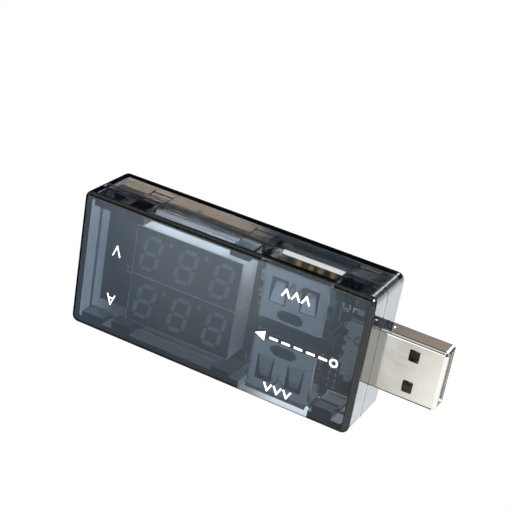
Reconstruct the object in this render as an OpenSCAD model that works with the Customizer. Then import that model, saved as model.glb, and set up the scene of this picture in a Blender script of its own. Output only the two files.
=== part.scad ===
// USB power meter: a two-part snap case with a USB-A plug at one end, two USB-A
// sockets back to back across the other half, and two three-digit displays.
// Frame: +X towards the plug, +Z out of the display face, +Y towards the long side
// nearest the volt display. The origin is the centre of the rear cover's flat back.

/* [Case] */
// Length of the case without the plug
case_l = 60.8; // [60:0.2:64]
// Width of the case
case_w = 28.2; // [28:0.2:30]
// Thickness of the case, printed marks included
case_t = 14.2; // [14:0.1:15]
// Thickness of the side walls
wall = 1.5; // [1.4:0.1:1.6]
// Thickness of the front and rear panels
panel = 1.4; // [1.2:0.1:1.4]
// Height of the parting line between the two covers
parting_z = 8.2; // [8.2:0.1:8.4]
// Radius of the four upright corners
corner_r = 1.5; // [1.2:0.1:2]
// Radius of the rim round the display face
front_rim_r = 1.0; // [0.6:0.1:1.1]
// Radius of the rim round the back
rear_rim_r = 0.8; // [0.5:0.1:1]

/* [Circuit board] */
// Underside of the board above the back of the case
board_z = 4.8; // [4.8:0.1:4.9]
// Thickness of the board
board_t = 1.6; // [1.5:0.1:1.6]
// Gap between the board's edge and the side walls
board_gap = 0.5; // [0.4:0.1:0.6]

/* [USB sockets] */
// Position of both sockets along the case
socket_x = 14.8; // [14.4:0.1:15.2]
// Outer width of a socket shell
socket_w = 13.1; // [13.1:0.1:13.3]
// Outer height of a socket shell
socket_h = 5.72; // [5.7:0.02:5.8]
// Distance from the case centre line to a shell's closed end
socket_rear = 2.1; // [2:0.1:2.2]
// Distance from the case centre line to a shell's mouth
socket_mouth = 12.4; // [12.3:0.1:12.5]
// Sheet thickness of the shells
sheet = 0.3; // [0.25:0.05:0.3]

/* [USB plug] */
// Width of the plug shell
plug_w = 12.0; // [11.9:0.1:12.1]
// Height of the plug shell
plug_h = 4.5; // [4.4:0.1:4.5]
// How far the plug stands out of the case
plug_out = 13.2; // [12.8:0.1:14]

/* [Displays] */
// Length of a display module
display_l = 22.8; // [22.6:0.1:23]
// Width of a display module
display_w = 10.1; // [10:0.05:10.1]
// Height of a display module above the board
display_h = 6.1; // [5.9:0.1:6.2]
// Centre of both displays along the case
display_x = -7.2; // [-7.6:0.1:-7]
// Line between the two displays, across the case
display_y = 0.74; // [0.6:0.02:0.8]
// Height of a digit between its outer bars
digit_h = 6.5; // [6:0.1:6.6]
// Width of a digit between its upright bars
digit_w = 3.25; // [3:0.05:3.4]
// Sideways lean of a digit for each millimetre of its height
digit_lean = 0.18; // [0:0.01:0.2]

/* [Springs] */
// Travel of a socket's contact springs, in degrees
contact_travel = 4; // [3:0.5:4]
// Travel of a socket's retention springs, in degrees
retention_travel = 6; // [4:0.5:6]

/* [Hidden] */
$fn = 48;
fit_gap = 0.05;
joint_gap = 0.16;
ink_t = 0.04;
face_z = case_t - ink_t;
inner_top = face_z - panel;
inner_l = case_l - 2 * wall;
inner_w = case_w - 2 * wall;
inner_corner_r = 0.6;
lip_t = 0.6;
lip_h = 0.8;

board_top = board_z + board_t;
board_l = inner_l - 1.1;
board_w = inner_w - 2 * board_gap + 0.2;
board_x = -0.15;
corner_cut = [8.6, 1.2];

post_r = 1.6;
post_x = case_l / 2 - 4.9;
post_y = 8;
hook_w = 4.4;
hook_t = 0.7;
hook_end = 2.9;
hook_xs = [-19.3, 3.2, 24.6];
hook_roots = [1.3, 0.5, 1.3];
hook_y = inner_w / 2 - 0.35;
rib_xs = [-28.3, -23.5];
rib_t = 1.2;

socket_z = board_top;
socket_top = socket_z + socket_h;
window_x = socket_x - 0.2;
window_w = socket_w + 1.5;
window_low = 4.5;
bore_w = socket_w - 2 * sheet;
tongue_z = [9.26, 11.10];
tongue_end = socket_mouth - 0.6;
block_front = 4.9;
contact_xs = [-3.5, -1, 1, 3.5];
contact_w = 1.0;
contact_z = 9.35;
contact_t = 0.2;
contact_tip = [11.2, 9.42];
contact_root = block_front + 2 * fit_gap + contact_t / 2;
groove_top = contact_tip[1] + (contact_tip[0] - contact_root) * sin(contact_travel) + 0.15;
spring_xs = [-3.1, 3.1];
spring_root = 5.5;
spring_end = 10.6;
spring_slot_w = 3.4;
shell_leg = [0.3, 2.0];
shell_leg_y = 7.4;

plug_tip = case_l / 2 + plug_out;
plug_rear = 24.8;
plug_z = parting_z - plug_h;
tip_lip = 0.7;
plug_hole = [2.0, 2.4];
plug_hole_x = plug_tip - 6.0;
plug_hole_y = 3.15;
plug_floor = plug_z + sheet;
plug_deck = plug_floor + 1.95;
plug_block_end = 31.5;
plug_pin_x = 24.0;

display_top = board_top + display_h;
display_film = 0.12;
display_rim = 0.14;
display_pitch = 7.67;
bar_w = 0.9;
bar_gap = 0.2;
pin_pitch = 2.54;
pin_row = 7.6;
pin_r = 0.24;
display_ys = [display_y + display_w / 2, display_y - display_w / 2];

smoke = "#39424f";
nickel = "#d9d6cc";
gold = "#d8b25a";
black = "#1d1f22";

// ---------- helpers ----------

// Extrudes a YZ outline along X, centred on x = 0
module along_x(length) {
    translate([-length / 2, 0, 0]) rotate([90, 0, 90]) linear_extrude(length) children();
}

// Extrudes an XZ outline along +Y, starting at y = 0
module along_y(length) {
    rotate([90, 0, 0]) mirror([0, 0, 1]) linear_extrude(length) children();
}

// Extrudes an XZ outline along Y, centred on y = 0
module across_y(length) {
    translate([0, -length / 2, 0]) along_y(length) children();
}

// Box given by its lowest and highest corner
module span(low, high) {
    translate(low) cube([high.x - low.x, high.y - low.y, high.z - low.z]);
}

// Centred rectangle with round corners
module plan(l, w, r) {
    square([l - 2 * r, w], center = true);
    square([l, w - 2 * r], center = true);
    for (sx = [-1, 1], sy = [-1, 1])
        translate([sx * (l / 2 - r), sy * (w / 2 - r)]) circle(r);
}

module quarter_disc(r) {
    intersection() {
        circle(r);
        square(r);
    }
}

// Block on z = 0 with round upright corners and a rounded top rim
module rimmed_block(l, w, h, upright_r, rim_r) {
    straight_l = l - 2 * upright_r;
    straight_w = w - 2 * upright_r;
    linear_extrude(h - rim_r) plan(l, w, upright_r);
    translate([0, 0, h - rim_r]) {
        translate([-straight_l / 2, -w / 2 + rim_r, 0]) cube([straight_l, w - 2 * rim_r, rim_r]);
        translate([-l / 2 + rim_r, -straight_w / 2, 0]) cube([l - 2 * rim_r, straight_w, rim_r]);
        for (turn = [0, 180]) rotate([0, 0, turn]) {
            translate([0, w / 2 - rim_r, 0]) along_x(straight_l) quarter_disc(rim_r);
            translate([l / 2 - rim_r, 0, 0]) across_y(straight_w) quarter_disc(rim_r);
        }
        for (sx = [0, 1], sy = [0, 1])
            mirror([sx, 0, 0]) mirror([0, sy, 0])
                translate([l / 2 - upright_r, w / 2 - upright_r, 0])
                    rotate_extrude(angle = 90) {
                        square([upright_r - rim_r, rim_r]);
                        translate([upright_r - rim_r, 0]) quarter_disc(rim_r);
                    }
    }
}

// Flat ring in the case's plan, between two insets from the outer walls
module wall_ring(outer_inset, inner_inset) {
    difference() {
        plan(case_l - 2 * outer_inset, case_w - 2 * outer_inset, inner_corner_r);
        plan(case_l - 2 * inner_inset, case_w - 2 * inner_inset, inner_corner_r);
    }
}

module on_both_sides() {
    children();
    mirror([0, 1, 0]) children();
}

// The window in a long wall, in front of a socket's mouth
module socket_windows(low, high) {
    on_both_sides()
        span([window_x - window_w / 2, inner_w / 2 - 0.5, low],
             [window_x + window_w / 2, case_w / 2 + 1, high]);
}

// Places of the four posts that the board rests on
module at_posts() {
    for (sx = [-1, 1], sy = [-1, 1]) translate([sx * post_x, sy * post_y, 0]) children();
}

module at_hooks() {
    for (x = hook_xs) on_both_sides() translate([x, 0, 0]) children();
}

// ---------- case ----------

// Hook whose root stands out from the wall by a thickness
module snap_hook(root) {
    barb = 0.35;
    translate([0, hook_y, 0]) along_x(hook_w - 0.4)
        polygon([[0, hook_end], [hook_t * 0.6, hook_end],
                 [hook_t + barb, hook_end + 0.7], [hook_t + barb, hook_end + 0.9],
                 [hook_t, hook_end + 0.9], [hook_t, parting_z + lip_h + 0.4],
                 [0.5, parting_z + lip_h + 0.9], [0.5, inner_top + 0.2],
                 [-root, inner_top + 0.2], [-root, parting_z + 1.4],
                 [0, parting_z + 0.4]]);
}

module hook_pocket() {
    span([-hook_w / 2, inner_w / 2 - 0.2, hook_end - 0.15],
         [hook_w / 2, hook_y + hook_t + 0.1, parting_z + 2]);
    span([-hook_w / 2, inner_w / 2 - 0.2, hook_end - 0.15],
         [hook_w / 2, hook_y + hook_t + 0.45, hook_end + 1.0]);
}

module front_cover() {
    color(smoke) {
        difference() {
            translate([0, 0, parting_z + joint_gap / 2])
                rimmed_block(case_l, case_w, face_z - parting_z - joint_gap / 2,
                             corner_r, front_rim_r);
            linear_extrude(inner_top) plan(inner_l, inner_w, inner_corner_r);
            // rebate for the rear cover's lip
            translate([0, 0, parting_z - 1])
                linear_extrude(lip_h + 1.1)
                    wall_ring(wall - lip_t - fit_gap, wall + 1);
            socket_windows(parting_z - 1, inner_top);
        }
        for (i = [0:2]) on_both_sides() translate([hook_xs[i], 0, 0]) snap_hook(hook_roots[i]);
        // stiffening ribs in the corners at the display end
        on_both_sides()
            span([rib_xs[0], inner_w / 2 - rib_t, parting_z + lip_h + 0.2],
                 [rib_xs[1], inner_w / 2 + 0.1, inner_top + 0.1]);
    }
}

module rear_cover() {
    lip_gap = hook_w + 0.6;
    color(smoke) {
        difference() {
            union() {
                translate([0, 0, parting_z - joint_gap / 2]) mirror([0, 0, 1])
                    rimmed_block(case_l, case_w, parting_z - joint_gap / 2,
                                 corner_r, rear_rim_r);
                // lip that stands into the front cover's rebate
                difference() {
                    translate([0, 0, parting_z - 1])
                        linear_extrude(lip_h + 0.9) wall_ring(wall - lip_t, wall);
                    for (x = hook_xs)
                        span([x - lip_gap / 2, -case_w, parting_z - joint_gap / 2],
                             [x + lip_gap / 2, case_w, parting_z + 2]);
                    span([0, -plug_w / 2 - 0.5, parting_z - joint_gap / 2],
                         [case_l, plug_w / 2 + 0.5, parting_z + 2]);
                    socket_windows(parting_z - joint_gap / 2, parting_z + 2);
                }
            }
            difference() {
                translate([0, 0, panel]) linear_extrude(case_t) plan(inner_l, inner_w, inner_corner_r);
                span([-case_l, -case_w, 0], [case_l, case_w, panel]);
            }
            socket_windows(window_low, parting_z + 2);
            at_hooks() hook_pocket();
            // notch for the plug in the end wall
            span([inner_l / 2 - 1, -plug_w / 2 - fit_gap, plug_z - fit_gap],
                 [case_l, plug_w / 2 + fit_gap, parting_z + 2]);
        }
        // posts under the board
        at_posts()
            translate([0, 0, panel - 0.2]) cylinder(r = post_r, h = board_z - panel + 0.2 - fit_gap);
        // ribs under the board and under the plug
        for (x = [-12.5, 6.0])
            span([x, -9.5, panel - 0.1], [x + 0.8, -8.7, board_z - fit_gap]);
        for (x = [-12.5, 6.0])
            span([x, 10.2, panel - 0.1], [x + 0.8, 11.0, board_z - fit_gap]);
        for (y = [-4.4, 3.6])
            span([plug_rear + 0.4, y, panel - 0.1], [inner_l / 2 + 0.1, y + 0.8, plug_z - fit_gap]);
    }
}

// Bar of ink from a to b
module stroke(a, b, w) {
    length = norm(b - a);
    translate(a) rotate(atan2(b.y - a.y, b.x - a.x))
        translate([-w / 2, -w / 2]) square([length + w, w]);
}

// Unit signs, arrows that mark the outputs, and the current's path from plug to sockets
module printed_marks() {
    w = 0.34;
    thin = 0.24;
    color("white") translate([0, 0, face_z]) linear_extrude(ink_t) {
        translate([-21.75, 4.3]) rotate(180) {
            stroke([-0.75, 1], [0, -1], thin);
            stroke([0, -1], [0.75, 1], thin);
        }
        translate([-21.8, -6.1]) rotate(180) {
            stroke([-0.8, -1], [0, 1], thin);
            stroke([0, 1], [0.8, -1], thin);
            stroke([-0.42, -0.35], [0.42, -0.35], thin);
        }
        for (side = [[15.75, 8.9, 1], [15.55, -10.7, -1]], i = [-1:1])
            translate([side[0] + 2 * i, side[1]]) {
                stroke([-0.7, -0.55 * side[2]], [0, 0.75 * side[2]], w);
                stroke([0, 0.75 * side[2]], [0.7, -0.55 * side[2]], w);
            }
        translate([0, -0.8]) {
            translate([25.2, 0]) difference() {
                circle(0.85);
                circle(0.5);
            }
            for (i = [0:4]) translate([12.2 + 2.5 * i, -0.2]) square([1.7, 0.4]);
            polygon([[9.2, 0], [11.2, 0.95], [11.2, -0.95]]);
        }
    }
}

// ---------- circuit board ----------

// Centres of the holes that the display pins go through
module at_display_pins() {
    for (y = display_ys, row = [-1, 1], i = [0:5])
        translate([display_x + (i - 2.5) * pin_pitch, y + row * pin_row / 2, 0]) children();
}

module circuit_board() {
    edge_y = board_w / 2;
    color("#2b3440") difference() {
        translate([board_x, 0, board_z]) linear_extrude(board_t) plan(board_l, board_w, 0.4);
        // corner cut at the display end
        span([-case_l, -case_w, 0],
             [board_x - board_l / 2 + corner_cut.x, -edge_y + corner_cut.y, case_t]);
        // notch beside the lower socket and corner cut at the plug end
        span([4.9, -case_w, 0], [7.7, -edge_y + 2.2, case_t]);
        span([22, -case_w, 0], [case_l, -edge_y + 1.6, case_t]);
        // notch that the plug sits in
        span([plug_rear - 0.1, -plug_w / 2 - 0.2, 0], [case_l, plug_w / 2 + 0.2, case_t]);
        for (x = hook_xs, sy = [-1, 1])
            span([x - hook_w / 2, sy > 0 ? hook_y - 0.15 : -case_w, 0],
                 [x + hook_w / 2, sy > 0 ? case_w : -hook_y + 0.15, case_t]);
        at_display_pins() cylinder(r = pin_r + 0.14, h = case_t);
        on_both_sides() {
            for (x = contact_xs) translate([socket_x + x, 3.45, 0]) cylinder(r = 0.42, h = case_t);
            for (sx = [-1, 1])
                span([socket_x + sx * (socket_w / 2 - 0.15) - 0.35, shell_leg_y - 1.2, 0],
                     [socket_x + sx * (socket_w / 2 - 0.15) + 0.35, shell_leg_y + 1.2, case_t]);
        }
        for (y = contact_xs) translate([plug_pin_x, y, 0]) cylinder(r = 0.42, h = case_t);
    }
}

// White print on the board: pad rings, a corner bracket and part outlines
module board_print() {
    color("#c9d0d6") translate([0, 0, board_top]) linear_extrude(0.03) {
        for (y = [-3.5, 3.5]) translate([plug_pin_x, y]) difference() {
            circle(0.8);
            circle(0.6);
        }
        translate([24.3, 7.1]) square([1.6, 0.22]);
        translate([24.3, 6.4]) square([0.22, 0.8]);
        translate([22.2, 6.6]) difference() {
            square([1.5, 4.2]);
            translate([0.15, 0.15]) square([1.2, 3.9]);
        }
        for (y = [-11.2, 9.4]) translate([5.0, y]) square([0.2, 1.6]);
    }
}

// ---------- displays ----------

// The housing of a display module, open at the top for its film
module display_housing(y) {
    color("#c8ccd2") translate([display_x, y, 0]) difference() {
        translate([0, 0, board_top + fit_gap])
            linear_extrude(display_h - fit_gap) plan(display_l, display_w - 0.04, 0.15);
        translate([0, 0, display_top - display_film])
            linear_extrude(1) plan(display_l - 2 * display_rim, display_w - 2 * display_rim, 0.1);
    }
}

// A point of a digit's outline, leaned over
function lean(p) = [p.x + digit_lean * p.y, p.y];

// One bar of a digit, between two corner points
module bar(a, b) {
    across = a.x == b.x ? [1, 0] : [0, 1];
    dir = (b - a) / norm(b - a);
    h = bar_w / 2;
    s = a + dir * bar_gap;
    e = b - dir * bar_gap;
    polygon([for (p = [s, s + dir * h + across * h, e - dir * h + across * h,
                       e, e - dir * h - across * h, s + dir * h - across * h]) lean(p)]);
}

// The seven bars of a digit and its point
module digit(with_point) {
    x = digit_w / 2;
    y = digit_h / 2;
    for (sx = [-1, 1], sy = [-1, 1]) bar([sx * x, 0], [sx * x, sy * y]);
    for (sy = [-1, 0, 1]) bar([-x, sy * y], [x, sy * y]);
    if (with_point) translate([-3.75, y - 0.05]) circle(0.42);
}

module display_digits(y) {
    for (i = [-1:1])
        translate([display_x + i * display_pitch - 0.05, y]) digit(i > -1);
}

module display_segments(y) {
    color("#5e6872") translate([0, 0, display_top - display_film])
        linear_extrude(display_film) display_digits(y);
}

module display_film_sheet(y) {
    color("#3a434d") difference() {
        translate([display_x, y, display_top - display_film])
            linear_extrude(display_film)
                plan(display_l - 2 * display_rim - 0.02, display_w - 2 * display_rim - 0.02, 0.1);
        translate([0, 0, display_top - 1]) linear_extrude(2) display_digits(y);
    }
}

module display_pins(y) {
    color(nickel) for (row = [-1, 1], i = [0:5])
        translate([display_x + (i - 2.5) * pin_pitch, y + row * pin_row / 2, board_z - 1.2])
            cylinder(r = pin_r, h = board_t + 1.2 + fit_gap);
}

// ---------- plug ----------

// Cross-section of a shell with round corners, centred on a height
module shell_section(w, h, r, mid_z) {
    translate([0, mid_z]) plan(w, h, r);
}

// Lip bent inwards: runs along X, reaches out to +Y, with the sheet's outer face at z = 0
module bent_in(width) {
    along_x(width)
        polygon([[-0.3, 0], [-0.3, -sheet], [0, -sheet], [tip_lip - 0.06, -sheet - 0.26],
                 [tip_lip, -0.34], [0.3, -0.1], [0, 0]]);
}

module plug_shell() {
    mid = plug_z + plug_h / 2;
    length = plug_tip - tip_lip - plug_rear;
    color(nickel) {
        difference() {
            translate([plug_rear + length / 2, 0, 0]) along_x(length)
                shell_section(plug_w, plug_h, 0.6, mid);
            translate([plug_rear + length / 2, 0, 0]) along_x(length + 2)
                shell_section(plug_w - 2 * sheet, plug_h - 2 * sheet, 0.3, mid);
            // locking holes in both broad faces
            for (sy = [-1, 1])
                translate([plug_hole_x, sy * plug_hole_y, 0])
                    linear_extrude(case_t) plan(plug_hole.x, plug_hole.y, 0.3);
            // relief slit behind the end wall
            span([25.8, -0.35, mid], [27.0, -0.2, parting_z + 1]);
            // round dimple in each narrow side
            for (sy = [-1, 1])
                translate([32.4, sy * (plug_w / 2 + 0.25), mid]) sphere(0.45);
        }
        // four lips bent in round the tip, open at the corners
        for (turn = [0, 180]) translate([plug_tip - tip_lip, 0, mid]) {
            rotate([turn, 0, 0]) translate([0, 0, plug_h / 2]) rotate([0, 0, -90]) bent_in(plug_w - 1.3);
            rotate([turn + 90, 0, 0]) translate([0, 0, plug_w / 2]) rotate([0, 0, -90]) bent_in(plug_h - 1.3);
        }
        // side tabs soldered to the board
        on_both_sides()
            span([25.2, plug_w / 2 - 0.1, board_top], [26.6, plug_w / 2 + 1.6, board_top + sheet]);
    }
}

module plug_insulator() {
    mid = plug_z + plug_h / 2;
    length = plug_tip - plug_rear - 0.9;
    color("#5c5c5a") difference() {
        translate([plug_rear + 0.2 + length / 2, 0, 0]) along_x(length)
            shell_section(plug_w - 2 * sheet - 2 * fit_gap, plug_h - 2 * sheet - 2 * fit_gap, 0.3, mid);
        // the contacts lie open in front of the rear block
        span([plug_block_end, -plug_w, plug_deck], [plug_tip, plug_w, parting_z]);
        // grooves for the contacts, deepened to slots through the rear block
        for (y = contact_xs)
            span([plug_rear - 1, y - 0.55, plug_deck - 0.14], [plug_tip - 1.1, y + 0.55, plug_deck + 1]);
    }
}

module plug_contacts() {
    low = plug_deck - 0.12;
    over = board_top + 0.06;
    color(gold) for (y = contact_xs) {
        tip = plug_tip - (abs(y) > 2 ? 1.3 : 2.3);
        translate([0, y, 0]) {
            across_y(contact_w)
                polygon([[tip, low], [tip, low + contact_t], [plug_rear + 0.7, low + contact_t],
                         [plug_rear + 0.3, over + contact_t], [plug_pin_x - 0.25, over + contact_t],
                         [plug_pin_x - 0.25, over], [plug_rear + 0.15, over],
                         [plug_rear + 0.5, low]]);
            span([plug_pin_x - 0.25, -0.25, board_z - 0.7], [plug_pin_x + 0.25, 0.25, over]);
        }
    }
}

// ---------- sockets ----------
// A socket is drawn with its mouth towards +Y and turned over for the other side.

module place_socket(side) {
    translate([socket_x, 0, 0]) rotate([0, 0, side > 0 ? 0 : 180]) children();
}

// Flared edge of the mouth: a short sheet bent away from the opening
module mouth_lip(width, out) {
    along_x(width)
        polygon([[-0.3, 0], [-0.3, -sheet], [0, -sheet], [0.65, out - sheet * 0.4],
                 [0.5, out], [-0.1, 0]]);
}

module socket_shell(side) {
    mid = socket_z + socket_h / 2;
    half = socket_w / 2;
    length = socket_mouth - socket_rear;
    lip_w = socket_w - 0.5;
    color(nickel) place_socket(side) {
        difference() {
            translate([0, socket_rear, 0]) along_y(length) shell_section(socket_w, socket_h, 0.6, mid);
            translate([0, socket_rear + sheet, 0]) along_y(length)
                shell_section(bore_w, socket_h - 2 * sheet, 0.3, mid);
            // room for the contact tails
            span([-5, socket_rear - 1, socket_z - 1], [5, 4.4, socket_z + 1]);
            // slots round the two retention springs
            for (x = spring_xs)
                span([x - spring_slot_w / 2, spring_root, socket_top - 1],
                     [x + spring_slot_w / 2, spring_end, socket_top + 1]);
            // stepped latch hole near the closed end
            span([-2.6, 3.0, socket_top - 1], [2.6, 4.2, socket_top + 1]);
            span([-2.0, 2.6, socket_top - 1], [2.0, 4.7, socket_top + 1]);
            // round dimple between the springs
            translate([0, 8.3, socket_top - 0.12]) cylinder(r = 0.6, h = 1);
        }
        // lips along the four edges of the mouth
        translate([0, socket_mouth, socket_top]) mouth_lip(lip_w, 0.4);
        translate([0, socket_mouth, socket_z]) mirror([0, 0, 1]) mouth_lip(lip_w, 0.4);
        for (sx = [0, 1]) mirror([sx, 0, 0])
            translate([half, socket_mouth, mid]) rotate([0, 90, 0]) mouth_lip(socket_h - 1.6, 0.4);
        // solder legs through the board
        for (sx = [-1, 1])
            span([sx * (half - shell_leg.x / 2) - shell_leg.x / 2, shell_leg_y - shell_leg.y / 2, board_z - 1.0],
                 [sx * (half - shell_leg.x / 2) + shell_leg.x / 2, shell_leg_y + shell_leg.y / 2, mid]);
    }
}

module socket_insulator(side) {
    block_rear = socket_rear + sheet + fit_gap;
    color(black) place_socket(side) difference() {
        union() {
            translate([0, block_rear, 0]) along_y(block_front - block_rear)
                shell_section(bore_w - 2 * fit_gap, socket_h - 2 * sheet - 2 * fit_gap, 0.3,
                              socket_z + socket_h / 2);
            span([-5.55, block_front - 0.5, tongue_z[0]], [5.55, tongue_end, tongue_z[1]]);
        }
        for (x = contact_xs) {
            // channel for the tail and groove for the spring
            span([x - contact_w / 2 - 0.05, 3.15, 0], [x + contact_w / 2 + 0.05, block_front + 0.1, contact_z + 0.15]);
            span([x - contact_w / 2 - 0.15, block_front, 0],
                 [x + contact_w / 2 + 0.15, tongue_end - 0.3, groove_top]);
        }
    }
}

// Fixed ends of the four contacts: a strip in the block and a pin through the board
module socket_contact_tails(side) {
    color(gold) place_socket(side) for (x = contact_xs) {
        span([x - contact_w / 2, 3.2, contact_z - contact_t / 2],
             [x + contact_w / 2, block_front + fit_gap, contact_z + contact_t / 2]);
        span([x - 0.25, 3.2, board_z - 0.9], [x + 0.25, 3.7, contact_z + contact_t / 2]);
    }
}

// Free leaves of the four contacts, which rise into the tongue's grooves
module socket_contact_springs(side) {
    h = contact_t / 2;
    color(gold) place_socket(side) for (x = contact_xs)
        translate([x, 0, 0]) along_x(contact_w) {
            translate([contact_root, contact_z]) circle(h);
            polygon([[contact_root, contact_z + h], [contact_root, contact_z - h],
                     [9.3, 8.73], [10.3, 8.73], [contact_tip[0], 9.25],
                     [contact_tip[0] - 0.12, contact_tip[1]], [10.2, 8.93], [9.35, 8.93]]);
        }
}

// The two leaves in the shell's top that grip a plug
module socket_retention_springs(side) {
    root = spring_root + fit_gap + sheet / 2;
    low = socket_top - sheet;
    rise = (spring_end - root) * sin(retention_travel);
    tip = min(low + 0.12, inner_top - 0.15 - rise);
    color(nickel) place_socket(side) for (x = spring_xs) intersection() {
        translate([x, 0, 0]) along_x(spring_slot_w) {
            translate([root, low + sheet / 2]) circle(sheet / 2);
            polygon([[root, socket_top], [root, low], [9.0, low - 0.32], [9.7, low - 0.48],
                     [10.3, tip - 0.22], [10.1, tip], [9.66, low - 0.14], [9.0, low - 0.02]]);
        }
        translate([x, 0, 0]) linear_extrude(case_t)
            polygon([[-1.5, 0], [1.5, 0], [1.5, root], [0.85, 9.9], [-0.85, 9.9], [-1.5, root]]);
    }
}

// ---------- small electronic parts ----------

// Gull-wing chip under the board: body and legs in one package
module chip(size, legs, pitch, body_colour) {
    lead = 0.75;
    color(body_colour) translate([-size.x / 2, -size.y / 2, -size.z - 0.1]) cube(size);
    color(nickel) for (sy = [0, 1], i = [0:legs - 1]) mirror([0, sy, 0])
        translate([(i - (legs - 1) / 2) * pitch, size.y / 2 - 0.05, 0]) along_x(pitch * 0.36)
            polygon([[0, -size.z * 0.5], [0.3, -size.z * 0.5], [0.42, -0.02], [lead, -0.02],
                     [lead, -0.2], [0.58, -0.2], [0.42, -size.z * 0.5 - 0.15], [0, -size.z * 0.5 - 0.15]]);
}

module microcontroller() {
    translate([display_x, display_ys[1], board_z]) chip([6.5, 4.4, 1.0], 10, 0.65, black);
}

module sense_amplifier() {
    translate([display_x, display_ys[0], board_z]) chip([4.9, 3.9, 1.5], 4, 1.27, black);
}

module voltage_regulator() {
    translate([-22.8, 3.5, board_z]) chip([3.0, 1.6, 1.1], 3, 0.95, black);
}

// Low-ohm strap across which the current is measured
module shunt_resistor() {
    color("#22262b") translate([8.3, 0, board_z - 0.7]) span([-3.15, -1.6, 0], [3.15, 1.6, 0.65]);
}

// Two-terminal chip part lying on the board at a point
module chip_part(x, y, size, turn) {
    translate([x, y, board_top]) rotate([0, 0, turn])
        translate([-size.x / 2, -size.y / 2, 0]) cube(size);
}

module chip_resistors() {
    color("#2a2d31") {
        for (i = [0:3]) chip_part(23.1, -9.6 + 1.3 * i, [1.6, 0.8, 0.45], 0);
        for (i = [0:2]) chip_part(-22.6 + 1.5 * i, -2.2, [1.6, 0.8, 0.45], 90);
    }
}

module chip_capacitors() {
    color("#b59a6a") {
        chip_part(6.3, 7.5, [2.0, 1.25, 0.9], 90);
        chip_part(6.3, 3.9, [1.6, 0.8, 0.8], 90);
        chip_part(22.6, -4.4, [1.6, 0.8, 0.8], 90);
    }
}

front_cover();
rear_cover();
printed_marks();
circuit_board();
board_print();
display_housing(display_ys[0]);  // volt_display_housing
display_film_sheet(display_ys[0]);  // volt_display_film
display_segments(display_ys[0]);  // volt_display_segments
display_pins(display_ys[0]);  // volt_display_pins
display_housing(display_ys[1]);  // amp_display_housing
display_film_sheet(display_ys[1]);  // amp_display_film
display_segments(display_ys[1]);  // amp_display_segments
display_pins(display_ys[1]);  // amp_display_pins
plug_shell();
plug_insulator();
plug_contacts();
socket_shell(1);  // socket_a_shell
socket_insulator(1);  // socket_a_insulator
socket_contact_tails(1);  // socket_a_contact_tails
socket_contact_springs(1);  // socket_a_contact_springs
socket_retention_springs(1);  // socket_a_retention_springs
socket_shell(-1);  // socket_b_shell
socket_insulator(-1);  // socket_b_insulator
socket_contact_tails(-1);  // socket_b_contact_tails
socket_contact_springs(-1);  // socket_b_contact_springs
socket_retention_springs(-1);  // socket_b_retention_springs
microcontroller();
sense_amplifier();
voltage_regulator();
shunt_resistor();
chip_resistors();
chip_capacitors();
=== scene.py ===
"""Looks of the USB power meter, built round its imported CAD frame.

Lengths are in metres, most of them written as millimetres times MM. The plug points along +X,
socket a opens to +Y, socket b to -Y, and the printed face looks up, along +Z.
"""

import math

import bmesh
import bpy
from mathutils import Matrix, Vector


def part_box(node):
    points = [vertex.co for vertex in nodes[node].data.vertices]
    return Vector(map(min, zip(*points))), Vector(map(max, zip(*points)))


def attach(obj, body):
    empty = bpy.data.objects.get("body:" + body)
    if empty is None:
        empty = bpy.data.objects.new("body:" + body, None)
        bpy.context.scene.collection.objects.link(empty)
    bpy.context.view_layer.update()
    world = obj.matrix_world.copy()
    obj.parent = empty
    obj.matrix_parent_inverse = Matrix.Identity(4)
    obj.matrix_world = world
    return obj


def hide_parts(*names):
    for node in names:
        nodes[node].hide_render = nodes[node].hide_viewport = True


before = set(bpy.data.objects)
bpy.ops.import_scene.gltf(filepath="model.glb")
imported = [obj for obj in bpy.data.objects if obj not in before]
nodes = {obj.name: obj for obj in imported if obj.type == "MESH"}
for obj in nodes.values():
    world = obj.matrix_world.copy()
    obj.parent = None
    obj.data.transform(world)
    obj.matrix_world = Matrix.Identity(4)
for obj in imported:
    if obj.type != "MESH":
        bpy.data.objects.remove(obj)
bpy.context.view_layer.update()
scene = bpy.context.scene
MM = 0.001
MIDDLE = (0.35, 0.65)  # the part of a noise's range that blotches of colour are stretched over
WIDE = (0.3, 0.7)  # and the part that gloss is stretched over


# ---------- node materials ----------

class Nodes:
    """A node tree in the making, with short ways to add the nodes that repeat."""

    def __init__(self, tree):
        self.tree = tree

    def add(self, kind, inputs=None, **settings):
        node = self.tree.nodes.new(kind)
        for key, value in settings.items():
            setattr(node, key, value)
        for key, value in (inputs or {}).items():
            self.put(value, node.inputs[key])
        return node

    def put(self, value, socket):
        """Links another node's output to a socket, or sets the socket to a constant."""
        if isinstance(value, bpy.types.NodeSocket):
            self.tree.links.new(value, socket)
        else:
            socket.default_value = value

    def remap(self, value, low, high, to_low=0.0, to_high=1.0, **settings):
        inputs = {"Value": value, "From Min": low, "From Max": high, "To Min": to_low, "To Max": to_high}
        return self.add("ShaderNodeMapRange", inputs, **settings).outputs[0]

    def mix(self, factor, a, b):
        """Colour between a and b, which are other nodes' outputs or RGB tuples."""
        node = self.add("ShaderNodeMix", data_type="RGBA")
        for key, value in (("Factor", factor), ("A", a), ("B", b)):
            socket = [s for s in node.inputs if s.name == key and s.enabled][0]
            self.put((*value, 1) if isinstance(value, tuple) else value, socket)
        return [s for s in node.outputs if s.enabled][0]

    def math(self, operation, a, b=0.0):
        return self.add("ShaderNodeMath", {0: a, 1: b}, operation=operation).outputs[0]

    def axes(self, vector):
        return self.add("ShaderNodeSeparateXYZ", {0: vector}).outputs


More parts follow.
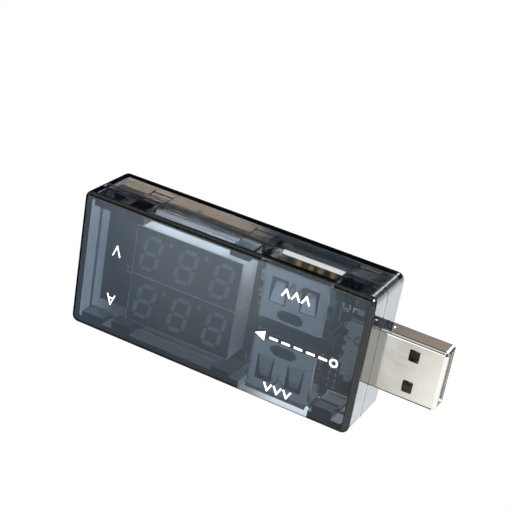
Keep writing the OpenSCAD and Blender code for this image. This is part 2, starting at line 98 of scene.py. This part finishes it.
class Look(Nodes):
    """A node material in the making: one Principled shader and the textures that vary it."""

    def __init__(self, name, **constants):
        self.material = bpy.data.materials.new(name)
        self.material.use_nodes = True
        super().__init__(self.material.node_tree)
        self.shader = self.tree.nodes["Principled BSDF"]
        self.output = self.tree.nodes["Material Output"]
        self.place = self.add("ShaderNodeTexCoord").outputs["Object"]
        for label, value in constants.items():
            self.shader.inputs[label.replace("_", " ")].default_value = value

    def drive(self, label, value):
        self.tree.links.new(value, self.shader.inputs[label])

    def noise(self, size, detail=2.0, stretch=(1, 1, 1)):
        """Noise with blobs about size mm across, drawn out by stretch."""
        scale = [1 / (size * MM * s) for s in stretch]
        spot = self.add("ShaderNodeMapping", {"Vector": self.place, "Scale": scale})
        inputs = {"Vector": spot.outputs[0], "Scale": 1.0, "Detail": detail}
        return self.add("ShaderNodeTexNoise", inputs).outputs["Fac"]

    def facing(self, axis, least):
        """1 where the surface faces along an axis, to either side."""
        normal = self.axes(self.add("ShaderNodeNewGeometry").outputs["Normal"])
        return self.math("GREATER_THAN", self.math("ABSOLUTE", normal[axis]), least)

    def bump(self, *layers):
        """Bump from (height, depth in mm) pairs, one over the other."""
        normal = None
        for height, depth in layers:
            inputs = {"Height": height, "Strength": 1.0, "Distance": depth * MM}
            if normal is not None:
                inputs["Normal"] = normal
            normal = self.add("ShaderNodeBump", inputs).outputs[0]
        self.drive("Normal", normal)

    def show(self, factor, first, second):
        """Makes the surface one shader where the factor is 0 and the other where it is 1."""
        both = self.add("ShaderNodeMixShader", {0: factor, 1: first.outputs[0], 2: second.outputs[0]})
        self.tree.links.new(both.outputs[0], self.output.inputs["Surface"])


def moulded(name, dark, light, rough, blotch, grain, depth):
    """Moulded or cast surface: blotches between two colours, grain in its gloss and its bump."""
    look = Look(name)
    broad, fine = look.noise(blotch), look.noise(grain, 3)
    look.drive("Base Color", look.mix(look.remap(broad, *MIDDLE), dark, light))
    look.drive("Roughness", look.remap(fine, *WIDE, *rough))
    look.bump((fine, depth))
    return look


def plated(name, dark, light, rough, brush, depth):
    """Plated metal: rolling lines drawn out along one axis, and duller smudges."""
    look = Look(name, Metallic=1.0)
    lines, smudge = look.noise(0.12, 2, brush), look.noise(3.0, 3)
    look.drive("Base Color", look.mix(look.remap(smudge, *MIDDLE), dark, light))
    worn = look.math("ADD", look.remap(lines, *WIDE, 0, 0.6), look.remap(smudge, *WIDE, 0, 0.4))
    look.drive("Roughness", look.remap(worn, 0, 1, *rough))
    look.bump((lines, depth))
    return look


def painted_seam_shade(look):
    """1 on the dark line of painted shade where the two covers meet, on the outside of the case only: it
    stands in for the shadow in the gap between them.
    """
    half_width, skin = 0.26 * MM, 0.05 * MM
    seam_z, case_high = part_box("plug_shell")[1].z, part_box("front_cover")[1]
    spot = look.axes(look.place)
    from_seam = look.math("ABSOLUTE", look.math("SUBTRACT", spot["Z"], seam_z))
    past_x = look.math("SUBTRACT", look.math("ABSOLUTE", spot["X"]), case_high.x - skin)
    past_y = look.math("SUBTRACT", look.math("ABSOLUTE", spot["Y"]), case_high.y - skin)
    outside = look.math("GREATER_THAN", look.math("MAXIMUM", past_x, past_y), 0.0)
    return look.math("MULTIPLY", look.math("LESS_THAN", from_seam, half_width), outside)


def smoke_plastic():
    """Clear smoke-grey polycarbonate: what it lets through gets darker and bluer with its thickness."""
    look = Look("smoke_plastic", IOR=1.585)
    waves, scuffs, streaks = look.noise(6.0, 1), look.noise(0.5, 4), look.noise(0.5, 2, (40, 1, 1))
    # painted shade: along the seam the plastic turns near-black and lets nothing through, standing in for the
    # shadow in the gap between the covers
    seam_shade = painted_seam_shade(look)
    clear = look.mix(waves, (0.95, 0.97, 0.99), (1.0, 1.0, 1.0))
    look.drive("Base Color", look.mix(seam_shade, clear, (0.010, 0.011, 0.013)))
    look.drive("Transmission Weight", look.math("SUBTRACT", 1.0, seam_shade))
    look.drive("Roughness", look.remap(scuffs, 0.4, 0.75, 0.0, 0.05))
    look.bump((waves, 0.012), (look.math("MULTIPLY", streaks, look.facing("Y", 0.9)), 0.05))
    # lamps reach the inside as through a plain tinted sheet
    sheet = look.add("ShaderNodeBsdfTransparent", {"Color": (0.95, 0.96, 0.98, 1)})
    look.show(look.add("ShaderNodeLightPath").outputs["Is Shadow Ray"], look.shader, sheet)
    tint = look.add("ShaderNodeVolumeAbsorption", {"Color": (0.0, 0.07, 0.13, 1), "Density": 780.0})
    look.tree.links.new(tint.outputs[0], look.output.inputs["Volume"])
    return look


def board_mask():
    """Dark solder mask over glass cloth; the cut edges show the darker core."""
    look = Look("board", Specular_IOR_Level=0.25)
    weave = {"Vector": look.place, "Scale": 900.0, "Distortion": 0.6}
    cloth = look.add("ShaderNodeTexWave", weave, bands_direction="DIAGONAL").outputs["Fac"]
    broad = look.noise(5.0, 3)
    top = look.mix(look.remap(broad, *MIDDLE), (0.020, 0.029, 0.040), (0.029, 0.040, 0.053))
    look.drive("Base Color", look.mix(look.facing("Z", 0.5), (0.035, 0.038, 0.036), top))
    look.drive("Roughness", look.remap(broad, *WIDE, 0.45, 0.6))
    look.bump((cloth, 0.004), (broad, 0.02))
    return look


MOULDED = {  # slot: two colours, range of roughness, blotch and grain in mm, depth of the grain in mm
    "white_ink": ((0.86, 0.87, 0.88), (0.95, 0.95, 0.96), (0.4, 0.6), 1.2, 0.15, 0.004),
    "board_ink": ((0.60, 0.63, 0.66), (0.74, 0.77, 0.80), (0.5, 0.7), 0.8, 0.1, 0.006),
    "display_housing": ((0.68, 0.71, 0.75), (0.76, 0.80, 0.84), (0.3, 0.5), 4.0, 0.2, 0.01),
    "display_film": ((0.060, 0.070, 0.082), (0.072, 0.082, 0.094), (0.25, 0.35), 3.0, 0.1, 0.002),
    "display_segments": ((0.38, 0.41, 0.43), (0.44, 0.48, 0.49), (0.2, 0.3), 1.5, 0.2, 0.004),
    "plug_plastic": ((0.10, 0.10, 0.10), (0.13, 0.13, 0.12), (0.3, 0.45), 2.0, 0.1, 0.004),
    "insulator": ((0.020, 0.021, 0.023), (0.030, 0.031, 0.034), (0.35, 0.55), 2.0, 0.1, 0.006),
    "chip_body": ((0.022, 0.022, 0.024), (0.034, 0.034, 0.037), (0.5, 0.7), 1.0, 0.06, 0.01),
    "resistor_body": ((0.026, 0.028, 0.031), (0.040, 0.042, 0.046), (0.3, 0.5), 0.6, 0.08, 0.006),
    "capacitor_body": ((0.40, 0.30, 0.18), (0.50, 0.40, 0.25), (0.4, 0.6), 0.5, 0.07, 0.006),
}
PLATED = {  # slot: two colours, range of roughness, how far the lines are drawn out, their depth in mm
    "nickel": ((0.82, 0.79, 0.73), (0.85, 0.83, 0.78), (0.08, 0.14), (40, 1, 1), 0.0003),
    "socket_nickel": ((0.88, 0.89, 0.89), (0.94, 0.94, 0.94), (0.19, 0.24), (1, 30, 1), 0.0001),
    "tinned_pins": ((0.66, 0.66, 0.64), (0.78, 0.78, 0.77), (0.2, 0.4), (1, 1, 10), 0.001),
    "contact_gold": ((0.80, 0.60, 0.26), (0.90, 0.72, 0.38), (0.14, 0.26), (1, 12, 1), 0.0006),
}
MATERIALS = {"smoke_plastic": smoke_plastic(), "board": board_mask()}
for slot, values in MOULDED.items():
    MATERIALS[slot] = moulded(slot, *values)
for slot, values in PLATED.items():
    MATERIALS[slot] = plated(slot, *values)
for node in nodes.values():
    slot = node.material_slots[0].material.name
    node.material_slots[0].material = MATERIALS[slot].material


# ---------- pieces in mesh code ----------

def piece(name, mesh, slot, look=None, smooth=40):
    """Turns a bmesh into a named piece of the case; edges above smooth degrees stay sharp."""
    data = bpy.data.meshes.new(name)
    mesh.to_mesh(data)
    mesh.free()
    data.materials.append((look or MATERIALS[slot]).material)
    data.shade_smooth()
    data.set_sharp_from_angle(angle=math.radians(smooth))
    obj = bpy.data.objects.new(name, data)
    scene.collection.objects.link(obj)
    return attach(obj, "case")


def islands(node):
    """(lowest corner, highest corner) of each separate solid in a CAD node, in metres."""
    weld = 1e-7
    mesh = bmesh.new()
    mesh.from_mesh(nodes[node].data)
    bmesh.ops.remove_doubles(mesh, verts=mesh.verts, dist=weld)
    unseen, found = set(mesh.verts), []
    while unseen:
        group, waiting = set(), [unseen.pop()]
        while waiting:
            vert = waiting.pop()
            group.add(vert)
            for other in (e.other_vert(vert) for e in vert.link_edges):
                if other in unseen:
                    unseen.remove(other)
                    waiting.append(other)
        low = Vector([min(v.co[i] for v in group) for i in range(3)])
        high = Vector([max(v.co[i] for v in group) for i in range(3)])
        found.append((low, high))
    mesh.free()
    return sorted(found, key=lambda box: tuple(round(x, 6) for x in box[0]))


def add_box(mesh, low, high, bevel):
    """Box with bevelled edges between two corners."""
    low, high = Vector(low), Vector(high)
    made = bmesh.ops.create_cube(mesh, size=1.0)["verts"]
    size = high - low
    for vert in made:
        vert.co = (low + high) / 2 + Vector([vert.co[i] * size[i] for i in range(3)])
    edges = list({e for v in made for e in v.link_edges})
    bmesh.ops.bevel(mesh, geom=edges, offset=bevel, segments=3, profile=0.5, affect="EDGES")


def add_lathe(mesh, centre, profile, steps=24, flatten=(1, 1)):
    """Surface turned about Z: profile is (radius, z) pairs, closed when its ends have no radius."""
    rings = []
    for radius, z in profile:
        turns = [2 * math.pi * i / steps for i in range(steps if radius else 1)]
        rings.append([mesh.verts.new((
            centre[0] + flatten[0] * radius * math.cos(turn),
            centre[1] + flatten[1] * radius * math.sin(turn), z)) for turn in turns])
    for low, high in zip(rings, rings[1:]):
        for i in range(steps):
            after = i + 1
            corners = [low[i % len(low)], low[after % len(low)], high[after % len(high)], high[i % len(high)]]
            mesh.faces.new(list(dict.fromkeys(corners)))
    bmesh.ops.recalc_face_normals(mesh, faces=mesh.faces)


def add_ribbon(mesh, points, width, z, thickness):
    """Flat strip of even width along a line of XY points, with mitred corners."""
    path = [Vector(p) for p in points]
    least_cosine = 0.4  # keeps the mitre of a sharp corner short
    sides = []
    for i, here in enumerate(path):
        before = (here - path[i - 1]).normalized() if i else None
        after = (path[i + 1] - here).normalized() if i + 1 < len(path) else None
        along = ((before or after) + (after or before)).normalized()
        across = Vector((-along.y, along.x))
        onward = after or before
        reach = width / 2 / max(least_cosine, abs(across.dot(Vector((-onward.y, onward.x)))))
        sides.append((here + across * reach, here - across * reach))
    low, high = sorted((z, z + thickness))
    rings = [[mesh.verts.new((*xy, height)) for xy, height in ((a, low), (b, low), (b, high), (a, high))]
             for a, b in sides]
    mesh.faces.new(rings[0])
    mesh.faces.new(rings[-1][::-1])
    for one, two in zip(rings, rings[1:]):
        for i in range(4):
            mesh.faces.new([one[i], one[(i + 1) % 4], two[(i + 1) % 4], two[i]])
    bmesh.ops.recalc_face_normals(mesh, faces=mesh.faces)


# ---------- solder, chips and tracks ----------

board_low, board_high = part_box("circuit_board")
top, under = board_high.z, board_low.z
pin_nodes = ["volt_display_pins", "amp_display_pins"]
tail_nodes = ["socket_a_contact_tails", "socket_b_contact_tails"]
display_pins = [((low + high) / 2).xy for node in pin_nodes for low, high in islands(node)]
socket_low, socket_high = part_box("socket_a_shell")
volt_low, volt_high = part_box("volt_display_housing")
amp_low, amp_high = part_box("amp_display_housing")
SOCKET_PIN_Y = 3.45 * MM  # the sockets' contacts go through the board this far from its middle
SHELL_LEG_Y = 7.4 * MM  # and the legs of their shells this far
PLUG_PIN_IN = 0.25 * MM  # the plug's pins, from the ends of its contacts to their middles


def tail_pins():
    """Where the sockets' and the plug's contacts go through the board."""
    places = []
    for node, side in zip(tail_nodes, (1, -1)):
        for low, high in islands(node):
            places.append(Vector(((low.x + high.x) / 2, side * SOCKET_PIN_Y)))
    for low, high in islands("plug_contacts"):
        places.append(Vector((low.x + PLUG_PIN_IN, (low.y + high.y) / 2)))
    return places


def fillet(tall, hole, spread, reach_power, rise_power):
    """Profile of a concave solder fillet that hangs under the board: hole and spread are in mm."""
    foot, steps, film = 0.01 * MM, 8, 0.012 * MM
    curve = []
    for step in range(steps + 1):
        t = step / steps
        curve.append(((hole + spread * t ** reach_power) * MM, under - tall * (1 - t) ** rise_power - film))
    return [*curve, (0.0, under - foot)]


def solder_underneath():
    """A concave fillet round each pin and leg that comes through the board."""
    mesh = bmesh.new()
    for i, spot in enumerate(display_pins + tail_pins()):
        tall = (0.95 + 0.12 * math.sin(2.7 * i)) * MM  # differs a little from pin to pin
        tip = [(0.0, under - tall - 0.12 * MM), (0.13 * MM, under - tall - 0.1 * MM)]
        add_lathe(mesh, spot, tip + fillet(tall, 0.27, 0.5, 2.2, 1.3))
    half_sheet = 0.15 * MM
    for x in (socket_low.x + half_sheet, socket_high.x - half_sheet):
        for side in (1, -1):
            profile = [(0.0, under - 0.8 * MM)] + fillet(0.75 * MM, 0.3, 0.45, 2, 1.2)
            add_lathe(mesh, (x, side * SHELL_LEG_Y), profile, flatten=(1, 2.0))
    piece("solder_joints", mesh, "tinned_pins", smooth=70)


def chip_parts(name, source, slot, round_over):
    """Two-terminal chip parts: ceramic bodies with tinned caps round both ends."""
    bodies, caps = bmesh.new(), bmesh.new()
    cap_share, cap_skin, end_skin = 0.22, 0.012 * MM, 0.02 * MM
    for low, high in islands(source):
        size = high - low
        long = 0 if size.x > size.y else 1
        cap = cap_share * size[long]
        inset = Vector([end_skin if i == long else cap_skin for i in range(3)])
        add_box(bodies, low + inset, high - inset, round_over)
        for end in (0, 1):
            cap_low, cap_high = low.copy(), high.copy()
            if end:
                cap_low[long] = high[long] - cap
            else:
                cap_high[long] = low[long] + cap
            add_box(caps, cap_low, cap_high, round_over * 1.2)
    made = piece(name, bodies, slot)
    piece(name + "_caps", caps, "tinned_pins")
    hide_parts(source)


CHIPS = {  # legs on each side, their pitch in mm
    "microcontroller": (10, 0.65),
    "sense_amplifier": (4, 1.27),
    "voltage_regulator": (3, 0.95),
}
LEG_REACH = 0.70 * MM  # how far a leg stands out of its chip


def chip_feet(chip):
    """Where the feet of a chip's legs stand on the board: two rows, along -Y and +Y."""
    count, pitch = CHIPS[chip]
    foot = 0.1 * MM
    low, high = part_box(chip)
    xs = [(low.x + high.x) / 2 + (i - (count - 1) / 2) * pitch * MM for i in range(count)]
    return [[Vector((x, y)) for x in xs] for y in (low.y + foot, high.y - foot)]


def tin_legs(chip):
    """The faces of a chip that lie outside its moulded body are tinned."""
    low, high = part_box(chip)
    data = nodes[chip].data
    data.materials.append(MATERIALS["tinned_pins"].material)
    slack = 0.02 * MM
    body = (high.y - low.y) / 2 - LEG_REACH + slack
    for face in data.polygons:
        face.material_index = int(abs(face.center.y - (low.y + high.y) / 2) > body)


def tin_plug_pins():
    """The plug's contacts are gold on its tongue and tinned where they come out behind the shell."""
    data = nodes["plug_contacts"].data
    data.materials.append(MATERIALS["tinned_pins"].material)
    shell_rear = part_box("plug_shell")[0].x
    for face in data.polygons:
        face.material_index = int(face.center.x < shell_rear)


def chip_tracks(track, chip, housing_low, housing_high):
    """Underneath, from the display's pins to the feet of a chip."""
    middle = (housing_low.y + housing_high.y) / 2
    inside = [pin for pin in display_pins if housing_low.y < pin.y < housing_high.y]
    for row, feet in enumerate(chip_feet(chip)):
        pins = sorted((pin for pin in inside if (pin.y > middle) == bool(row)), key=lambda pin: pin.x)
        for i, foot in enumerate(feet):
            pin = pins[min(len(pins) - 1, i * len(pins) // len(feet))]
            out = (0.9 if row else -0.9) * MM
            track([foot, (foot.x, foot.y + out), (pin.x, pin.y - out), pin], 0.2, under)


def board_tracks():
    """Copper tracks under the solder mask on both faces, and the tinned vias that join them."""
    mesh, vias = bmesh.new(), bmesh.new()
    skin = 0.03 * MM

    def track(points, width, face):
        add_ribbon(mesh, points, width * MM, face, skin if face == top else -skin)

    def via(spot):
        for face, away in ((top, MM), (under, -MM)):
            rim = face + away * 0.045
            ring = [(0.1 * MM, rim), (0.22 * MM, rim), (0.26 * MM, face)]
            add_lathe(vias, spot, [(0.0, face + away * 0.02), *ring, (0.0, face)], steps=16)

    # from the plug's four pins past the sockets to the displays
    plug_pins = sorted(tail_pins()[-4:], key=lambda pin: pin.y)
    for i, pin in enumerate(plug_pins):
        off = i - 1.5
        lane, width = off * 0.55 * MM, 0.2 if 0 < i < 3 else 0.32
        turn = socket_high.x + (0.5 + 0.3 * abs(off)) * MM
        end = Vector((socket_low.x - (0.9 + 0.5 * i) * MM, lane))
        far = (end.x, lane + off * 2.0 * MM)
        track([pin, (turn, pin.y), (turn - abs(pin.y - lane) * 0.5, lane), end], width, top)
        track([end, far], 0.2, top)
        via(far)
    # supply strips beside the plug
    edge = board_high.x - 6.2 * MM
    for side in (MM, -MM):
        track([(edge, side * 3.9), (edge, side * 8.2), (edge - 1.2 * MM, side * 9.4)], 0.5, top)
        for across, along in ((1.3, 9.6), (0.6, 9.0)):
            x = edge + across * MM
            track([(x, side * 6.2), (x, side * along)], 0.18, top)
        for across in (1.3, 0.6):
            via((edge + across * MM, side * 6.2))
    # short ones at the display end
    end = volt_low.x - 2.2 * MM
    for i in range(5):
        y, last = (-6.0 + 2.9 * i) * MM, end - 0.2 * MM * (i % 2)
        far = (last, y + 2.2 * MM)
        track([(end + 1.4 * MM, y), (end + 0.5 * MM, y), (last, y + 1.2 * MM), far], 0.2, top)
        via(far)
    chip_tracks(track, "sense_amplifier", volt_low, volt_high)
    chip_tracks(track, "microcontroller", amp_low, amp_high)
    for side in (MM, -MM):
        track([(socket_low.x - 3.2 * MM, side * 1.2), (socket_high.x + 1.5 * MM, side * 1.2)], 1.5, under)
    mask = moulded("board_track", (0.090, 0.112, 0.132), (0.108, 0.132, 0.152), (0.4, 0.5), 2.0, 0.1, 0.003)
    piece("board_tracks", mesh, "board", look=mask)
    piece("board_vias", vias, "tinned_pins")


SHEET_METAL = ["plug_shell", "socket_a_shell", "socket_b_shell"]
SHEET_METAL += ["socket_a_retention_springs", "socket_b_retention_springs"]


def round_edges(node):
    """A small bevel on a CAD node's sharp edges, which catches the light."""
    bevel = nodes[node].modifiers.new("edges", "BEVEL")
    bevel.width, bevel.segments = 0.06 * MM, 2
    bevel.limit_method, bevel.angle_limit = "ANGLE", math.radians(50)
    bevel.harden_normals = True


board_tracks()
for chip in CHIPS:
    tin_legs(chip)
tin_plug_pins()
for node in SHEET_METAL:
    round_edges(node)
solder_underneath()
chip_parts("resistor_bodies", "chip_resistors", "resistor_body", round_over=0.03 * MM)
chip_parts("capacitor_bodies", "chip_capacitors", "capacitor_body", round_over=0.08 * MM)


# ---------- floor, light and camera ----------

def studio_floor():
    """Pale table top a hair below the part and far bigger than it, pure white to the camera.

    Through the clear case it glows with painted light and shade: a painted shadow under the case and on its
    -Y side, painted orange light on its +Y side next to the displays, and a neutral glow past its two ends
    and next to the -Y socket.
    """
    case_end, socket_x, socket_y, fade = 29 * MM, 4 * MM, 13 * MM, 6 * MM
    look = Look("studio_floor", Roughness=0.9, Emission_Strength=2.4)
    look.drive("Base Color", look.mix(look.noise(40.0, 2), (0.80, 0.80, 0.80), (0.83, 0.83, 0.83)))
    white = look.add("ShaderNodeEmission", {"Color": (1.0, 1.0, 1.0, 1), "Strength": 1.0})
    # painted light and shade, seen through the case: a painted orange glow on the +Y side left of the middle,
    # a painted shadow under and round the case, and a neutral glow past its ends and next to the -Y socket
    spot = look.axes(look.place)
    beside = look.remap(spot["Y"], 1 * MM, 8 * MM)
    left = look.remap(spot["X"], -3 * MM, 3 * MM, 1, 0)
    painted_side_glow = look.mix(look.math("MULTIPLY", beside, left), (0.0, 0.0, 0.0), (2.00, 1.33, 0.90))
    past_x = look.math("SUBTRACT", spot["X"], socket_x)
    past_y = look.math("SUBTRACT", look.math("MULTIPLY", spot["Y"], -1.0), socket_y)
    past_end = look.math("SUBTRACT", look.math("ABSOLUTE", spot["X"]), case_end)
    clear = look.math("MAXIMUM", past_end, look.math("MINIMUM", past_x, past_y))
    look.drive("Emission Color", look.mix(look.remap(clear, 0.0, fade), painted_side_glow, (0.62, 0.66, 0.70)))
    look.show(look.add("ShaderNodeLightPath").outputs["Is Camera Ray"], look.shader, white)
    mesh = bmesh.new()
    bmesh.ops.create_grid(mesh, x_segments=8, y_segments=8, size=2.0)
    bmesh.ops.translate(mesh, verts=mesh.verts, vec=(0, 0, -0.2 * MM))
    data = bpy.data.meshes.new("studio_floor")
    mesh.to_mesh(data)
    mesh.free()
    data.materials.append(look.material)
    floor = bpy.data.objects.new("studio_floor", data)
    scene.collection.objects.link(floor)
    floor.visible_glossy = False


STRIPS = [  # angle from +Y towards +Z in degrees, colour
    (-180, (0.05, 0.05, 0.05)),
    (-55, (0.015, 0.015, 0.02)),
    (-12, (0.20, 0.18, 0.15)),
    (5, (0.8, 0.8, 0.77)),
    (34, (0.8, 0.8, 0.8)),
    (42, (0.38, 0.42, 0.45)),
    (57, (0.36, 0.40, 0.44)),
    (62, (0.04, 0.04, 0.04)),
    (82, (0.04, 0.04, 0.04)),
    (94, (1.4, 1.5, 1.6)),
    (117, (1.9, 2.2, 2.5)),
    (119.5, (1.4, 1.65, 1.9)),
    (122, (0.70, 0.85, 1.0)),
    (138, (0.9, 1.0, 1.1)),
    (156, (0.03, 0.03, 0.03)),
    (180, (0.05, 0.05, 0.05)),
]
PATCHES = [  # direction, cosine where it starts, cosine where it is full, colour
    ((0.365, -0.424, -0.829), 0.75, 0.92, (2.1, 2.2, 2.3)),
    ((0.02, 0.56, -0.83), 0.985, 0.996, (6.0, 6.0, 6.0)),
    ((-0.20, 0.49, -0.849), 0.996, 0.9985, (0.36, 0.31, 0.28)),
    ((-0.60, -0.62, 0.51), 0.93, 0.98, (0.30, 0.36, 0.42)),
    ((-0.22, -0.50, 0.84), 0.990, 0.997, (0.9, 1.1, 1.3)),
    ((-0.56, -0.45, 0.70), 0.985, 0.997, (0.8, 1.05, 1.4)),
    ((0.10, -0.55, 0.83), 0.914, 0.924, (0.8, 0.9, 1.0)),
    ((0.10, -0.55, 0.83), 0.927, 0.935, (0.53, 0.52, 0.48)),
    ((0.10, -0.55, 0.83), 0.938, 0.955, (1.20, 1.20, 1.17)),
    ((0.805, -0.424, 0.34), 0.84, 0.96, (1.1, 1.2, 1.25)),
    ((-0.86, -0.42, 0.00), 0.78, 0.90, (0.03, 0.03, 0.03)),
]


def studio_surround():
    """A pale room to light the part; shiny faces mirror strips along the case, and patches, instead."""
    world = bpy.data.worlds.new("studio")
    scene.world = world
    world.use_nodes = True
    sky = Nodes(world.node_tree)

    def soft(value, low, high, to_low=0.0, to_high=1.0):
        return sky.remap(value, low, high, to_low, to_high, interpolation_type="SMOOTHSTEP")

    place = sky.add("ShaderNodeTexCoord").outputs["Generated"]
    axes = sky.axes(place)
    turn = sky.math("ARCTAN2", axes["Z"], axes["Y"])
    strips = sky.add("ShaderNodeValToRGB", {"Fac": sky.remap(turn, -math.pi, math.pi)})
    ramp = strips.color_ramp
    for i, (angle, paint) in enumerate(STRIPS):
        at = angle / 360 + 0.5
        stop = ramp.elements[i] if i < 2 else ramp.elements.new(at)
        stop.position, stop.color = at, (*paint, 1)
    room = sky.mix(soft(axes["Z"], -0.4, 0.5), (0.10, 0.11, 0.12), (0.60, 0.62, 0.64))
    striped = sky.math("MULTIPLY", soft(axes["X"], -0.80, -0.62), soft(axes["X"], -0.02, 0.20, 1.0, 0.0))
    colour = sky.mix(striped, room, strips.outputs["Color"])
    for direction, start, full, paint in PATCHES:
        inputs = {0: place, 1: Vector(direction).normalized()}
        cosine = sky.add("ShaderNodeVectorMath", inputs, operation="DOT_PRODUCT").outputs["Value"]
        colour = sky.mix(soft(cosine, start, full), colour, paint)
    glossy = sky.add("ShaderNodeLightPath").outputs["Is Glossy Ray"]
    background = world.node_tree.nodes["Background"]
    sky.put(sky.mix(glossy, (0.95, 0.95, 0.95), colour), background.inputs["Color"])
    background.inputs["Strength"].default_value = 1.0


def softbox(name, place, size, power, colour=(1.0, 1.0, 1.0), mirrored=True):
    """Square area light that faces the part; unless mirrored it doesn't show in shiny faces."""
    lamp = bpy.data.lights.new(name, "AREA")
    lamp.shape, lamp.size, lamp.energy, lamp.color = "SQUARE", size, power, colour
    obj = bpy.data.objects.new(name, lamp)
    scene.collection.objects.link(obj)
    obj.location = place
    obj.rotation_euler = (-Vector(place)).to_track_quat("-Z", "Y").to_euler()
    obj.visible_glossy = mirrored


def camera():
    """The photograph's view: above the display face, from the plug's side, rolled by its up vector."""
    place = Vector((91.244, 112.130, 206.392)) * MM
    forward = Vector((-0.36453, -0.42412, -0.82900)).normalized()
    up = Vector((-0.32886, 0.89153, -0.31150))
    right = forward.cross(up).normalized()
    up = right.cross(forward)
    turn = Matrix((right, up, -forward)).transposed().to_4x4()
    lens = bpy.data.cameras.new("camera")
    lens.lens, lens.sensor_width = 91.53, 36.0
    lens.clip_start = 10 * MM
    obj = bpy.data.objects.new("camera", lens)
    obj.matrix_world = Matrix.Translation(place) @ turn
    scene.collection.objects.link(obj)
    scene.camera = obj


studio_floor()
studio_surround()
softbox("corner_light", (0.42, 0.35, 0.11), size=0.28, power=6.0)
softbox("side_light", (0.22, 0.48, 0.18), size=0.25, power=15.0, colour=(1.0, 0.90, 0.80), mirrored=False)
camera()
scene.view_settings.view_transform = "Standard"
scene.cycles.max_bounces = 16
scene.cycles.transmission_bounces = 16
scene.cycles.glossy_bounces = 6
scene.cycles.transparent_max_bounces = 24
scene.cycles.sample_clamp_indirect = 8.0

bpy.context.view_layer.update()
